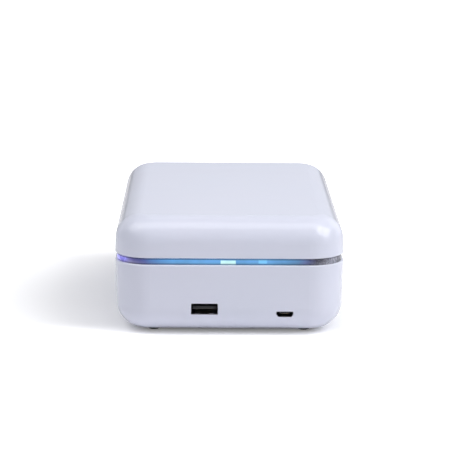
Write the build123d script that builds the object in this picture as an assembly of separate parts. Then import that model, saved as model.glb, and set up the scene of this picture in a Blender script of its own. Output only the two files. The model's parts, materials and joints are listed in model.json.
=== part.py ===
from build123d import *
import os
from math import radians, tan

# A clamshell sanitizer box for phones: a drafted, large-radius plastic base and lid with a
# translucent light band between them, a reflective chamber lit by ultraviolet LED bars from
# above and below, a power board with two sockets in one end, a start button on the front
# long side and a flush barrel hinge on the rear long side.
# Frame: millimetres, +Z up, origin under the middle of the box on the plane of the feet.
# The sockets are at -Y, the button at -X and the hinge at +X.

# ---------------------------------------------------------------- driving dimensions
box_width = 110.5           # X, front long side to hinge side
box_length = 182.0          # Y, socket end to plain end
corner_radius = 17.2        # of the outline seen from above
foot_drop = 1.7             # feet below the underside
base_height = 33.55         # underside to base rim
seam_height = 3.25          # open band between the two rims
lid_height = 19.0           # lid rim to lid top
wall = 2.2                  # housing wall
base_draft = 1.6            # degrees, narrowing downwards
lid_draft = 0.7             # degrees, narrowing upwards
base_edge_radius = 12.8     # round of the underside edge
lid_edge_radius = 12.3      # round of the top edge
rim_bevel = 0.45            # outer edge of both rims
inner_bevel_share = 0.585   # bevel inside an outer round, as a share of radius, for an even wall
liner_wall = 1.2            # thin metallised chamber parts
liner_floor = 1.6
chamber_width = 92.0        # inside the tub at its mouth
chamber_length = 168.0
chamber_radius = 11.0
touch_gap = 0.2             # free space between pieces that only face each other
loose_gap = 0.3             # free space between lid and base pieces

# ---------------------------------------------------------------- heights
base_bottom_z = foot_drop
base_rim_z = base_bottom_z + base_height
lid_rim_z = base_rim_z + seam_height
lid_top_z = lid_rim_z + lid_height
seam_mid_z = (base_rim_z + lid_rim_z) / 2
base_inner_z = base_bottom_z + wall
lid_inner_z = lid_top_z - wall

# ---------------------------------------------------------------- light band
band_recess = 1.0           # band face behind the housing face
band_inner = 3.0            # inset of the band's back face
band_depth = 2.6            # how far the band sits down in the base rim
band_top_gap = 0.5          # open slit over the band, which the lid swings down to

# ---------------------------------------------------------------- liners
liner_edge = band_inner + loose_gap     # inset of the liners' outer edge
flange_top_z = seam_mid_z               # base liner's top face
flange = 1.4
tub_floor_z = base_bottom_z + 16.9      # upper face of the chamber floor
tub_draft = 1.0
tub_floor_round = 4.0
tub_skin_bevel = 3.4                    # hidden outer edge of both chamber halves
lid_lip_z = flange_top_z + 0.5          # lid liner's lowest face
lid_seat_z = lid_rim_z                  # lid liner rests inside the lid wall above this
lid_plate = 1.2
lid_ceiling_z = lid_top_z - 8.7         # chamber roof
lid_cup_draft = 1.5

# ---------------------------------------------------------------- ultraviolet bars
window_width = 24.0
window_length = 122.0
window_thick = 1.5
window_radius = 3.0
aperture_width = 18.0
aperture_length = 112.0
bar_frame_width = 28.0
bar_frame_length = 135.0
bar_frame_thick = 1.4
bar_width = 22.0
bar_length = 132.0
bar_thick = 1.2
bar_screw_y = 63.8
uv_led_size = 3.5
uv_led_thick = 0.9
uv_led_count = 6
uv_led_pitch = 18.0

# ---------------------------------------------------------------- hinge on the +X side
hinge_inset = 1.5                       # axis behind the housing face
hinge_x = box_width / 2 - hinge_inset
hinge_length = 92.0
knuckle_count = 5
knuckle_gap = 0.25
knuckle_radius = 1.4
hinge_bore_radius = 0.7
hinge_pin_radius = 0.66
leaf_thick = 0.65
leaf_drop = 11.5                        # leaf edge from the axis
lip_swing = 3.2                         # lid liner's lip from the axis
leaf_clear = 1.7                        # leaf plate cut back around the other leaf's knuckles
cove_radius = 1.8                       # hollow in both rims around the barrel
leaf_screw_y = (-36.0, 0.0, 36.0)
leaf_screw_drop = 7.6                   # screws from the axis
leaf_screw_radius = 0.9
leaf_screw_head_radius = 1.7
leaf_screw_head = 0.9
leaf_screw_bite = 1.3                   # into the wall

# ---------------------------------------------------------------- sockets in the -Y end
usb_a_x = -11.95
usb_a_z = base_bottom_z + 11.9
usb_a_hole = (12.9, 5.6)
usb_a_shell = (13.4, 6.1, 14.0)
usb_a_sheet = 0.3
usb_a_tongue = (11.1, 1.4)
usb_a_tongue_z = usb_a_z + 0.37
micro_x = 26.65
micro_z = base_bottom_z + 9.5
micro_hole = (8.2, 2.85)
micro_shell = (8.7, 3.4, 5.6)
micro_sheet = 0.28
micro_tongue = (5.2, 0.7)
socket_face_y = -box_length / 2 + 1.95  # front of both sockets, behind a thin lip of the wall
socket_pocket_depth = 6.0               # past the wall's inner face

# ---------------------------------------------------------------- power board
board_top_z = micro_z - micro_shell[1] / 2
board_thick = 1.6
board_x = (-30.5, 31.5)
board_y = (-85.3, -44.6)
board_posts = ((-26.5, -76.0), (12.0, -76.0), (-26.5, -48.5), (27.5, -48.5))
board_post_radius = 2.75
board_screw_radius = 1.2
wire_socket_x = (-17.0, -6.0, 5.0, 16.0)
wire_socket_size = (7.5, 4.5, 3.4)
boost_coil_place = (18.0, -66.0)
control_chip_place = (-4.0, -60.0)
control_chip_size = (6.0, 8.6, 1.6)
board_screw_head_radius = 2.2
board_screw_head = 1.6

# ---------------------------------------------------------------- feet and case screws
foot_x = 36.5
foot_y = 72.5
foot_radius = 5.0
foot_flat_radius = 2.4
foot_belly_radius = 3.6                 # where the taper steepens
foot_belly_z = 0.7
foot_recess = 0.8
foot_places = [(sx * foot_x, sy * foot_y) for sy in (-1, 1) for sx in (-1, 1)]
boss_radius = 4.5
boss_top_z = base_bottom_z + 6.1
case_screw_seat_z = base_bottom_z + 3.0
case_screw_radius = 1.4
case_screw_head_radius = 2.7
case_screw_head = 1.8
case_screw_length = 9.0
post_radius = 3.75
lid_screw_x = 38.0
lid_screw_y = 72.0
lid_screw_places = [(sx * lid_screw_x, sy * lid_screw_y) for sy in (-1, 1) for sx in (-1, 1)]
lid_screw_radius = 1.2
lid_screw_head_radius = 2.3
lid_boss_radius = 3.5

# ---------------------------------------------------------------- start button on the -X side
button_z = base_bottom_z + 22.9
button_length = 15.0                    # Y
button_width = 7.0                      # Z
button_clear = 0.25
button_bevel = 0.4
button_proud = 0.25
button_travel = 0.5
button_flange = 1.2                     # wider than the cap all round
button_flange_thick = 0.9
board_guide_z = (button_z - 7.4, button_z + 7.2)
switch_size = (1.6, 6.0, 4.2)           # X, Y, Z
switch_well = 0.3                       # floor under the switch's well
switch_stem_radius = 1.2
button_board = (0.8, 22.0, 14.0)
button_board_x = -box_width / 2 + 6.3   # outward face of the board
guide_x = -box_width / 2 + 7.7          # inward end of the board's guides
hall_size = (1.1, 3.0, 1.6)
scoop_radius = 60.0         # finger scoop in the lid rim, above the button
scoop_depth = 1.1
scoop_height = 4.2

# ---------------------------------------------------------------- magnets
magnet_size = (3.0, 12.0, 3.0)
magnet_x = -box_width / 2 + 5.8
magnet_y = 40.0
magnet_wall = 0.8
sensor_magnet_radius = 2.0
sensor_magnet_thick = 2.0

# ---------------------------------------------------------------- band lighting and rails
glow_board = (82.0, 0.8, 6.0)
glow_board_y = -box_length / 2 + 5.75   # back face, against the tub
glow_led_x = (-33.0, -22.0, -11.0, 0.0, 16.4, 27.0)
glow_led_size = (3.6, 0.9, 2.0)
rail_x = 24.0
rail_length = 140.0
rail_width = 3.2
rail_height = 4.0
seal_inset = 4.5
seal_width = 1.4
seal_depth = 0.9
seal_stand = 0.45           # seal below the lid liner's lip
rib_thick = 1.2


# ---------------------------------------------------------------- shared shapes
def outline(inset, radius=None):
    """The box's outline seen from above, moved in by inset."""
    round_to = corner_radius - inset if radius is None else radius
    return RectangleRounded(box_width - 2 * inset, box_length - 2 * inset, round_to)


def slab(z_low, z_high, inset):
    return extrude(Plane.XY.offset(z_low) * outline(inset), z_high - z_low)


def cup(profile, z_mouth, z_end, draft, edge_size, ease=fillet):
    """A drafted plug from its mouth to its closed end, with that end's edge eased."""
    way = 1 if z_end > z_mouth else -1
    plane = Plane(origin=(0, 0, z_mouth), x_dir=(1, 0, 0), z_dir=(0, 0, way))
    body = extrude(plane * profile, abs(z_end - z_mouth), taper=draft)
    ends = body.faces().sort_by(Axis.Z)
    end = ends[-1] if way > 0 else ends[0]
    return ease(end.edges(), edge_size)


def block(x, y, z):
    """A box from three (low, high) pairs."""
    corner = (Align.MIN, Align.MIN, Align.MIN)
    return Pos(x[0], y[0], z[0]) * Box(x[1] - x[0], y[1] - y[0], z[1] - z[0], align=corner)


def centred(middle, size):
    return Pos(*middle) * Box(*size)


def rod(x, y, z_low, z_high, radius):
    upright = (Align.CENTER, Align.CENTER, Align.MIN)
    return Pos(x, y, z_low) * Cylinder(radius, z_high - z_low, align=upright)


def rod_along_x(x_low, x_high, y, z, radius):
    plane = Plane(origin=(x_low, y, z), z_dir=(1, 0, 0))
    return extrude(plane * Circle(radius), x_high - x_low)


def rod_along_y(x, y_low, y_high, z, radius):
    plane = Plane(origin=(x, y_low, z), z_dir=(0, 1, 0))
    return extrude(plane * Circle(radius), y_high - y_low)


def end_profile(face_y, shape, depth):
    """A shape drawn looking at the socket end, cut or grown along +Y from face_y."""
    plane = Plane(origin=(0, face_y, 0), x_dir=(1, 0, 0), z_dir=(0, -1, 0))
    return extrude(plane * shape, -depth)


def micro_shape(width, height):
    """Micro socket outline: wide at the top, with two slanted lower corners."""
    half = width / 2
    low_half = half * 0.78
    knee = height * 0.02
    points = [
        (-half, height / 2),
        (half, height / 2),
        (half, -knee),
        (low_half, -height / 2),
        (-low_half, -height / 2),
        (-half, -knee),
    ]
    return make_face(Polyline(*points, close=True))


def side_pill(x, length, height, depth):
    """A pill on the front long side, centred on the button, grown along +X from x."""
    plane = Plane(origin=(x, 0, button_z), x_dir=(0, -1, 0), z_dir=(-1, 0, 0))
    return extrude(plane * SlotOverall(length, height), -depth)


def base_face_inset(z):
    """How far the drafted base face has moved in at height z, above the underside round."""
    return (base_rim_z - z) * tan(radians(base_draft))


# ---------------------------------------------------------------- housings
def make_base_shell():
    outer = cup(outline(0), base_rim_z, base_bottom_z, base_draft, base_edge_radius)
    outer = chamfer(outer.faces().sort_by(Axis.Z)[-1].edges(), rim_bevel)
    inner = cup(outline(wall), base_rim_z, base_inner_z, base_draft,
                (base_edge_radius - wall) * inner_bevel_share, chamfer)
    shell = outer - inner
    shell -= slab(base_rim_z - band_depth, base_rim_z, band_recess)

    # bosses for the case screws, each over a foot recess
    for x, y in foot_places:
        shell += rod(x, y, base_inner_z - 0.2, boss_top_z, boss_radius)
    for x, y in foot_places:
        shell -= rod(x, y, base_bottom_z, base_bottom_z + foot_recess, foot_radius + 0.2)
        shell -= rod(x, y, base_bottom_z, case_screw_seat_z, case_screw_head_radius + 0.3)
        shell -= rod(x, y, base_bottom_z, boss_top_z, case_screw_radius + touch_gap)

    # posts for the power board and two long floor ribs
    for x, y in board_posts:
        shell += rod(x, y, base_inner_z - 0.2, board_top_z - board_thick, board_post_radius)
        shell -= rod(x, y, base_inner_z + 0.6, board_top_z, board_screw_radius + 0.05)
    for x in (-20.0, 20.0):
        shell += block((x - rib_thick / 2, x + rib_thick / 2), (-36.0, 66.0),
                       (base_inner_z - 0.2, base_inner_z + 3.0))
    for y in (-36.0, 15.0, 66.0):
        shell += block((-40.0, 40.0), (y - rib_thick / 2, y + rib_thick / 2),
                       (base_inner_z - 0.2, base_inner_z + 3.0))

    # rabbeted guides that hold the button board by its two ends, with the tub behind it
    board_edge = button_board[1] / 2
    x_wall = -box_width / 2 + wall + base_face_inset(button_z) - 0.2
    for side in (-1, 1):
        y_span = sorted((side * (board_edge - 1.0), side * (board_edge + 1.6)))
        shell += block((x_wall, guide_x), y_span, board_guide_z)
    board_room = (guide_x - button_board_x, button_board[1] + 0.1, 2 * button_board[2])
    shell -= centred(((guide_x + button_board_x) / 2, 0, board_guide_z[0] + 1.2 + button_board[2]),
                     board_room)

    # ports, each with a pocket that its socket sits in, square to the outer lip
    usb_hole = Pos(usb_a_x, usb_a_z) * RectangleRounded(*usb_a_hole, 0.5)
    micro_opening = Pos(micro_x, micro_z) * micro_shape(*micro_hole)
    usb_room = Pos(usb_a_x, usb_a_z) * RectangleRounded(usb_a_shell[0] + 2 * touch_gap,
                                                        usb_a_shell[1] + 2 * touch_gap, 0.8)
    micro_room = Pos(micro_x, micro_z) * micro_shape(micro_shell[0] + 2 * touch_gap,
                                                     micro_shell[1] + 2 * touch_gap)
    for hole, room in ((usb_hole, usb_room), (micro_opening, micro_room)):
        shell -= end_profile(-box_length / 2 - 1, hole, socket_pocket_depth)
        shell -= end_profile(socket_face_y, room, socket_pocket_depth)

    # button opening, hinge hollow and leaf screw holes
    shell -= side_pill(-box_width / 2 - 1, button_length + 2 * button_clear,
                       button_width + 2 * button_clear, wall + 3.0)
    shell -= hinge_hollow()
    shell -= leaf_pocket(-1)
    for y in leaf_screw_y:
        shell -= leaf_screw_hole(y, seam_mid_z - leaf_screw_drop)
    return shell


def make_lid_shell():
    outer = cup(outline(0), lid_rim_z, lid_top_z, lid_draft, lid_edge_radius)
    outer = chamfer(outer.faces().sort_by(Axis.Z)[0].edges(), rim_bevel)
    inner = cup(outline(wall), lid_rim_z, lid_inner_z, lid_draft,
                (lid_edge_radius - wall) * inner_bevel_share, chamfer)
    shell = outer - inner
    for x, y in lid_screw_places:
        shell += rod(x, y, lid_ceiling_z + liner_floor, lid_inner_z + 0.2, lid_boss_radius)
        shell -= rod(x, y, lid_ceiling_z + liner_floor, lid_inner_z - 0.6, lid_screw_radius + 0.05)
    rib_z = (lid_inner_z - 1.6, lid_inner_z + 0.2)
    for y in (-36.0, 0.0, 36.0):
        shell += block((-38.0, 38.0), (y - rib_thick / 2, y + rib_thick / 2), rib_z)
    for x in (-26.0, 26.0):
        shell += block((x - rib_thick / 2, x + rib_thick / 2), (-64.0, 64.0), rib_z)
    shell -= hinge_hollow()
    shell -= leaf_pocket(1)
    shell -= finger_scoop()
    for y in leaf_screw_y:
        shell -= leaf_screw_hole(y, seam_mid_z + leaf_screw_drop)
    return shell


def finger_scoop():
    """Shallow hollow in the lid's rim over the button, with a rounded top edge."""
    scoop = rod(-box_width / 2 - scoop_radius + scoop_depth, 0, lid_rim_z - 1.0,
                lid_rim_z + scoop_height, scoop_radius)
    return chamfer(scoop.faces().sort_by(Axis.Z)[-1].edges(), scoop_depth * 0.8)


def make_light_band():
    """A strip of clear acrylic round the seam, open where the hinge barrel runs."""
    z_low, z_high = base_rim_z - band_depth, lid_rim_z - band_top_gap
    band = slab(z_low, z_high, band_recess) - slab(z_low, z_high, band_inner)
    end_y = hinge_length / 2 + 1.0
    return band - block((hinge_x - 5.0, hinge_x + 5.0), (-end_y, end_y), (z_low - 1, z_high + 1))


# ---------------------------------------------------------------- chamber
def bar_seat(z_face, way):
    """Frame, aperture and recess for an ultraviolet bar behind a chamber face.

    way is -1 under the floor and +1 over the roof. Gives what is added and what is cut."""
    z_back = z_face + way * liner_floor
    z_frame = z_back + way * bar_frame_thick
    lows = sorted((z_back, z_frame))
    frame = extrude(Plane.XY.offset(lows[0])
                    * RectangleRounded(bar_frame_width, bar_frame_length, window_radius),
                    lows[1] - lows[0])
    z_glass = z_face + way * window_thick
    glass_z = sorted((z_face - way * 0.5, z_glass))
    recess = extrude(Plane.XY.offset(glass_z[0])
                     * RectangleRounded(window_width + 0.2, window_length + 0.2, window_radius + 0.1),
                     glass_z[1] - glass_z[0])
    through = block((-aperture_width / 2, aperture_width / 2),
                    (-aperture_length / 2, aperture_length / 2),
                    sorted((z_face, z_frame)))
    cut = recess + through
    hole_z = sorted((z_frame, z_face + way * 0.5))
    for y in (-bar_screw_y, bar_screw_y):
        cut += rod(0, y, hole_z[0], hole_z[1], board_screw_radius + 0.05)
    return frame, cut


def magnet_pocket(z_low, z_high, z_open):
    """Walls and cavity for the two closing magnets behind a liner flange."""
    walls, cavity = None, None
    for y in (-magnet_y, magnet_y):
        size = [magnet_size[0] + 2 * magnet_wall, magnet_size[1] + 2 * magnet_wall]
        wall_block = centred((magnet_x, y, (z_low + z_high) / 2), (*size, z_high - z_low))
        hollow = centred((magnet_x, y, (z_low + z_high) / 2 + z_open),
                         (magnet_size[0], magnet_size[1], z_high - z_low))
        walls = wall_block if walls is None else walls + wall_block
        cavity = hollow if cavity is None else cavity + hollow
    return walls, cavity


def make_base_liner():
    mouth = RectangleRounded(chamber_width, chamber_length, chamber_radius)
    skin = RectangleRounded(chamber_width + 2 * liner_wall, chamber_length + 2 * liner_wall,
                            chamber_radius + liner_wall)
    tub = cup(skin, flange_top_z, tub_floor_z - liner_floor, tub_draft, tub_skin_bevel, chamfer)
    frame, bar_cut = bar_seat(tub_floor_z, -1)
    pocket_low = flange_top_z - flange - magnet_size[2]
    walls, cavity = magnet_pocket(pocket_low, flange_top_z - flange + 0.1, -0.1)
    liner = slab(flange_top_z - flange, flange_top_z, liner_edge) + tub + frame + walls
    liner -= cup(mouth, flange_top_z, tub_floor_z, tub_draft, tub_floor_round)
    liner -= bar_cut
    liner -= cavity
    for x, y in foot_places:
        liner += rod(x, y, boss_top_z, tub_floor_z - liner_floor + 0.2, post_radius)
        liner -= rod(x, y, boss_top_z, case_screw_seat_z + case_screw_length + 0.5,
                     case_screw_radius + 0.05)
    return liner


def make_lid_liner():
    mouth = RectangleRounded(chamber_width - 1, chamber_length - 1, chamber_radius - 0.5)
    skin = RectangleRounded(chamber_width - 1 + 2 * liner_wall,
                            chamber_length - 1 + 2 * liner_wall,
                            chamber_radius - 0.5 + liner_wall)
    roof = cup(skin, lid_lip_z, lid_ceiling_z + liner_floor, lid_cup_draft, tub_skin_bevel,
               chamfer)
    frame, bar_cut = bar_seat(lid_ceiling_z, 1)
    pocket_high = lid_seat_z + lid_plate + magnet_size[2]
    walls, cavity = magnet_pocket(lid_seat_z + lid_plate - 0.1, pocket_high, 0.1)
    liner = slab(lid_lip_z, lid_seat_z + 0.1, liner_edge) + roof + frame + walls
    liner += slab(lid_seat_z + 0.1, lid_seat_z + lid_plate, wall + touch_gap)
    liner -= cup(mouth, lid_lip_z, lid_ceiling_z, lid_cup_draft, tub_floor_round)
    liner -= bar_cut
    liner -= cavity
    # seat of the small magnet that tells the board that the lid is shut
    liner -= rod(magnet_x, 0, lid_seat_z + lid_plate - 0.8, lid_seat_z + lid_plate + 1,
                 sensor_magnet_radius)
    # groove of the seal
    liner -= (slab(lid_lip_z, lid_lip_z + seal_depth, seal_inset)
              - slab(lid_lip_z, lid_lip_z + seal_depth, seal_inset + seal_width))
    # relief for the hinge leaf, and for the lip as it swings up past the band
    end_y = hinge_length / 2 + 1.0
    liner -= block((box_width / 2 - liner_edge, box_width / 2), (-end_y, end_y),
                   (lid_lip_z, lid_seat_z + lid_plate + 1))
    liner -= block((hinge_x - lip_swing, box_width / 2), (-box_length / 2, box_length / 2),
                   (lid_lip_z - 1, lid_seat_z))
    for x, y in lid_screw_places:
        liner -= rod(x, y, lid_ceiling_z - 0.1, lid_ceiling_z + liner_floor,
                     lid_screw_radius + touch_gap)
        liner -= lid_screw_seat(x, y)
    return liner


def lid_screw_seat(x, y):
    """Countersink in the chamber roof, open downwards."""
    upright = (Align.CENTER, Align.CENTER, Align.MIN)
    return Pos(x, y, lid_ceiling_z) * Cone(lid_screw_head_radius, lid_screw_radius + 0.1,
                                           lid_screw_head_radius - lid_screw_radius - 0.1,
                                           align=upright)


def make_window(z_face, way):
    z = sorted((z_face, z_face + way * window_thick))
    return extrude(Plane.XY.offset(z[0])
                   * RectangleRounded(window_width, window_length, window_radius), z[1] - z[0])


def make_uv_bar(z_face, way):
    z_seat = z_face + way * (liner_floor + bar_frame_thick)
    z = sorted((z_seat, z_seat + way * bar_thick))
    bar = block((-bar_width / 2, bar_width / 2), (-bar_length / 2, bar_length / 2), z)
    for y in (-bar_screw_y, bar_screw_y):
        bar -= rod(0, y, z[0], z[1], board_screw_radius + 0.1)
    return bar


def make_uv_leds(z_face, way):
    z_seat = z_face + way * (liner_floor + bar_frame_thick)
    z_mid = z_seat - way * uv_led_thick / 2
    first = -(uv_led_count - 1) / 2 * uv_led_pitch
    places = [first + n * uv_led_pitch for n in range(uv_led_count)]
    return [centred((0, y, z_mid), (uv_led_size, uv_led_size, uv_led_thick)) for y in places]


def make_bar_screws(z_face, way):
    z_back = z_face + way * (liner_floor + bar_frame_thick + bar_thick)
    z_tip = z_face + way * 0.8
    screws = []
    for y in (-bar_screw_y, bar_screw_y):
        shank_z = sorted((z_back, z_tip))
        head_z = sorted((z_back, z_back + way * 1.2))
        screws.append(rod(0, y, shank_z[0], shank_z[1], board_screw_radius)
                      + rod(0, y, head_z[0], head_z[1], board_screw_head_radius))
    return screws


def make_seal():
    z = (lid_lip_z - seal_stand, lid_lip_z + seal_depth)
    return slab(*z, seal_inset) - slab(*z, seal_inset + seal_width)


def make_rail(side):
    """A soft rail that carries the phone clear of the lower window."""
    plane = Plane.XY.offset(tub_floor_z)
    rail = extrude(plane * SlotOverall(rail_length, rail_width, rotation=90), rail_height)
    rail = fillet(rail.faces().sort_by(Axis.Z)[-1].edges(), rail_width * 0.3)
    return Pos(side * rail_x, 0, 0) * rail


# ---------------------------------------------------------------- hinge
def hinge_hollow():
    end_y = hinge_length / 2 + 0.5
    return rod_along_y(hinge_x, -end_y, end_y, seam_mid_z, cove_radius)


def leaf_pocket(way):
    """Flat land on a housing's drafted inner wall, for a leaf to lie against."""
    x_leaf = hinge_x - knuckle_radius
    half = hinge_length / 2 + 0.3
    z_span = sorted((seam_mid_z, seam_mid_z + way * (leaf_drop + 0.3)))
    return block((x_leaf - 2.0, x_leaf + leaf_thick), (-half, half), z_span)


def leaf_screw_hole(y, z):
    inner_x = box_width / 2 - wall
    return rod_along_x(inner_x - 3.0, inner_x + leaf_screw_bite + 0.1, y, z,
                       leaf_screw_radius + 0.05)


def knuckle_spans():
    """(low, high) along Y of each knuckle, from the socket end."""
    length = (hinge_length - (knuckle_count - 1) * knuckle_gap) / knuckle_count
    starts = [-hinge_length / 2 + n * (length + knuckle_gap) for n in range(knuckle_count)]
    return [(start, start + length) for start in starts]


def make_leaf(way, own, other):
    """One hinge leaf. way is -1 down into the base or +1 up into the lid."""
    x = (hinge_x - knuckle_radius, hinge_x - knuckle_radius + leaf_thick)
    z_edge = seam_mid_z + way * leaf_drop
    leaf = block(x, (-hinge_length / 2, hinge_length / 2), sorted((seam_mid_z, z_edge)))
    for low, high in other:
        leaf -= block((x[0] - 1, x[1] + 1), (low - knuckle_gap, high + knuckle_gap),
                      sorted((seam_mid_z - way, seam_mid_z + way * leaf_clear)))
    for low, high in own:
        leaf += rod_along_y(hinge_x, low, high, seam_mid_z, knuckle_radius)
    leaf -= rod_along_y(hinge_x, -hinge_length / 2 - 1, hinge_length / 2 + 1, seam_mid_z,
                        hinge_bore_radius)
    for y in leaf_screw_y:
        leaf -= rod_along_x(x[0] - 1, x[1] + 1, y, seam_mid_z + way * leaf_screw_drop,
                            leaf_screw_radius + 0.05)
    return leaf


def make_leaf_screws(way):
    x_leaf = hinge_x - knuckle_radius
    z = seam_mid_z + way * leaf_screw_drop
    inner_x = box_width / 2 - wall
    screws = []
    for y in leaf_screw_y:
        shank = rod_along_x(x_leaf, inner_x + leaf_screw_bite, y, z, leaf_screw_radius)
        head = rod_along_x(x_leaf - leaf_screw_head, x_leaf, y, z, leaf_screw_head_radius)
        screws.append(shank + head)
    return screws


# ---------------------------------------------------------------- sockets and boards
def make_power_board():
    board = block(board_x, board_y, (board_top_z - board_thick, board_top_z))
    for x, y in board_posts:
        board -= rod(x, y, board_top_z - board_thick, board_top_z, board_screw_radius + 0.1)
    return board


def on_board(x, y, size):
    """A plain component on the power board, centred at x and y."""
    return centred((x, y, board_top_z + size[2] / 2), size)


def make_wire_sockets():
    """Four wire sockets at the far edge of the board: two bars, band light and button."""
    sockets = []
    for x in wire_socket_x:
        body = on_board(x, board_y[1] - wire_socket_size[1] / 2 - 0.5, wire_socket_size)
        mouth = on_board(x, board_y[1] - wire_socket_size[1] / 2 + 0.7,
                         (wire_socket_size[0] - 1.2, wire_socket_size[1], 1.0))
        sockets.append(body - Pos(0, 0, 1.2) * mouth)
    return sockets


def make_boost_coil():
    x, y = boost_coil_place
    coil = rod(x, y, board_top_z, board_top_z + 3.0, 3.4)
    return coil - rod(x, y, board_top_z + 2.6, board_top_z + 4.0, 1.8)


def make_board_screws():
    screws = []
    for x, y in board_posts:
        shank = rod(x, y, base_inner_z + 1.0, board_top_z, board_screw_radius)
        head = rod(x, y, board_top_z, board_top_z + board_screw_head, board_screw_head_radius)
        screws.append(shank + head)
    return screws


def make_usb_a_shell():
    width, height, depth = usb_a_shell
    outer = Pos(usb_a_x, usb_a_z) * RectangleRounded(width, height, 0.6)
    inner = Pos(usb_a_x, usb_a_z) * RectangleRounded(width - 2 * usb_a_sheet,
                                                     height - 2 * usb_a_sheet, 0.3)
    return end_profile(socket_face_y, outer, depth) - end_profile(socket_face_y, inner, depth)


def make_usb_a_insert():
    """Tongue, back wall and foot of the larger socket, one dark moulding."""
    width, height, depth = usb_a_shell
    back_y = socket_face_y + depth
    inner_width = width - 2 * usb_a_sheet - 0.2
    inner_height = height - 2 * usb_a_sheet - 0.2
    back = centred((usb_a_x, back_y - 1.25, usb_a_z), (inner_width, 2.5, inner_height))
    tongue = centred((usb_a_x, (socket_face_y + 1.0 + back_y - 2.0) / 2, usb_a_tongue_z),
                     (usb_a_tongue[0], depth - 3.0, usb_a_tongue[1]))
    insert = back + tongue
    foot_z = (board_top_z, usb_a_z - height / 2)
    foot_y_span = (max(board_y[0], socket_face_y + 1.5), back_y)
    x_span = (usb_a_x - 5.5, usb_a_x + 5.5)
    foot = block(x_span, foot_y_span, foot_z)
    heel = block(x_span, (back_y, back_y + 0.8), (board_top_z, usb_a_z))
    neck = block(x_span, (back_y - 1.0, back_y + 0.8), (usb_a_z - 1.0, usb_a_z))
    return insert + foot + heel + neck


def make_micro_shell():
    width, height, depth = micro_shell
    outer = Pos(micro_x, micro_z) * micro_shape(width, height)
    inner = Pos(micro_x, micro_z) * micro_shape(width - 2 * micro_sheet, height - 2 * micro_sheet)
    return end_profile(socket_face_y, outer, depth) - end_profile(socket_face_y, inner, depth)


def make_micro_insert():
    depth = micro_shell[2]
    back_y = socket_face_y + depth
    back = centred((micro_x, back_y - 0.6, micro_z + 0.2), (5.4, 1.2, micro_shell[1] - 1.0))
    tongue = centred((micro_x, (socket_face_y + 0.8 + back_y - 1.0) / 2, micro_z + 0.45),
                     (micro_tongue[0], depth - 1.8, micro_tongue[1]))
    return back + tongue


def button_flange_x():
    """Outward face of the button's flange, which meets the wall at the flange's lower edge."""
    lowest_z = button_z - button_width / 2 - button_flange
    return -box_width / 2 + wall + base_face_inset(lowest_z) + 0.05


def make_button():
    """Pill-shaped cap with a flange that keeps it in from behind the wall."""
    face_x = -box_width / 2 + base_face_inset(button_z) - button_proud
    flange_x = button_flange_x()
    cap = side_pill(face_x, button_length, button_width, flange_x - face_x)
    cap = chamfer(cap.faces().sort_by(Axis.X)[0].edges(), button_bevel)
    collar = side_pill(flange_x, button_length + 2 * button_flange,
                       button_width + 2 * button_flange, button_flange_thick)
    return cap + collar


def make_switch_stem():
    """The switch's plunger, which the button rests on and drives down the switch's well."""
    bottom_x = button_board_x - switch_well - button_travel - 0.2
    return rod_along_x(button_flange_x() + button_flange_thick, bottom_x, 0, button_z,
                       switch_stem_radius)


def make_switch_body():
    """Low switch on the button board, with a well that the stem goes down."""
    size = (switch_size[0], switch_size[1], switch_size[2])
    body = centred((button_board_x - switch_size[0] / 2, 0, button_z), size)
    well = rod_along_x(button_board_x - switch_size[0] - 1, button_board_x - switch_well, 0,
                       button_z, switch_stem_radius + 0.08)
    return body - well


def make_button_board():
    middle = (button_board_x + button_board[0] / 2, 0,
              board_guide_z[0] + 1.2 + button_board[2] / 2)
    return centred(middle, button_board)


def make_hall_sensor():
    return centred((button_board_x - hall_size[0] / 2, 0, button_z + 5.6), hall_size)


def make_magnets(z_low):
    return [centred((magnet_x, y, z_low + magnet_size[2] / 2), magnet_size)
            for y in (-magnet_y, magnet_y)]


def make_sensor_magnet():
    seat_z = lid_seat_z + lid_plate - 0.8
    return rod(magnet_x, 0, seat_z, seat_z + sensor_magnet_thick, sensor_magnet_radius - 0.05)


def make_glow_board():
    z_top = flange_top_z - flange - 0.1
    return block((-glow_board[0] / 2, glow_board[0] / 2),
                 (glow_board_y - glow_board[1], glow_board_y), (z_top - glow_board[2], z_top))


def make_glow_leds():
    z_mid = flange_top_z - flange - 0.1 - 1.4
    y_mid = glow_board_y - glow_board[1] - glow_led_size[1] / 2
    return [centred((x, y_mid, z_mid), glow_led_size) for x in glow_led_x]


# ---------------------------------------------------------------- feet and screws
def make_foot(x, y):
    """Tapered rubber foot with a flat to stand on, seated in its recess."""
    side = Polyline(
        (0, 0),
        (foot_flat_radius, 0),
        (foot_belly_radius, foot_belly_z),
        (foot_radius, base_bottom_z - 0.2),
        (foot_radius, base_bottom_z + foot_recess),
        (0, base_bottom_z + foot_recess),
        close=True,
    )
    return Pos(x, y, 0) * revolve(make_face(Plane.XZ * side), Axis.Z)


def make_case_screws():
    screws = []
    for x, y in foot_places:
        head = rod(x, y, case_screw_seat_z - case_screw_head, case_screw_seat_z,
                   case_screw_head_radius)
        shank = rod(x, y, case_screw_seat_z, case_screw_seat_z + case_screw_length,
                    case_screw_radius)
        screws.append(head + shank)
    return screws


def make_lid_screws():
    """Countersunk screws through the chamber roof into the lid's bosses."""
    screws = []
    head_height = lid_screw_head_radius - lid_screw_radius
    upright = (Align.CENTER, Align.CENTER, Align.MIN)
    for x, y in lid_screw_places:
        head = Pos(x, y, lid_ceiling_z) * Cone(lid_screw_head_radius - 0.1, lid_screw_radius,
                                               head_height - 0.1, align=upright)
        shank = rod(x, y, lid_ceiling_z, lid_inner_z - 1.0, lid_screw_radius)
        screws.append(head + shank)
    return screws


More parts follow.
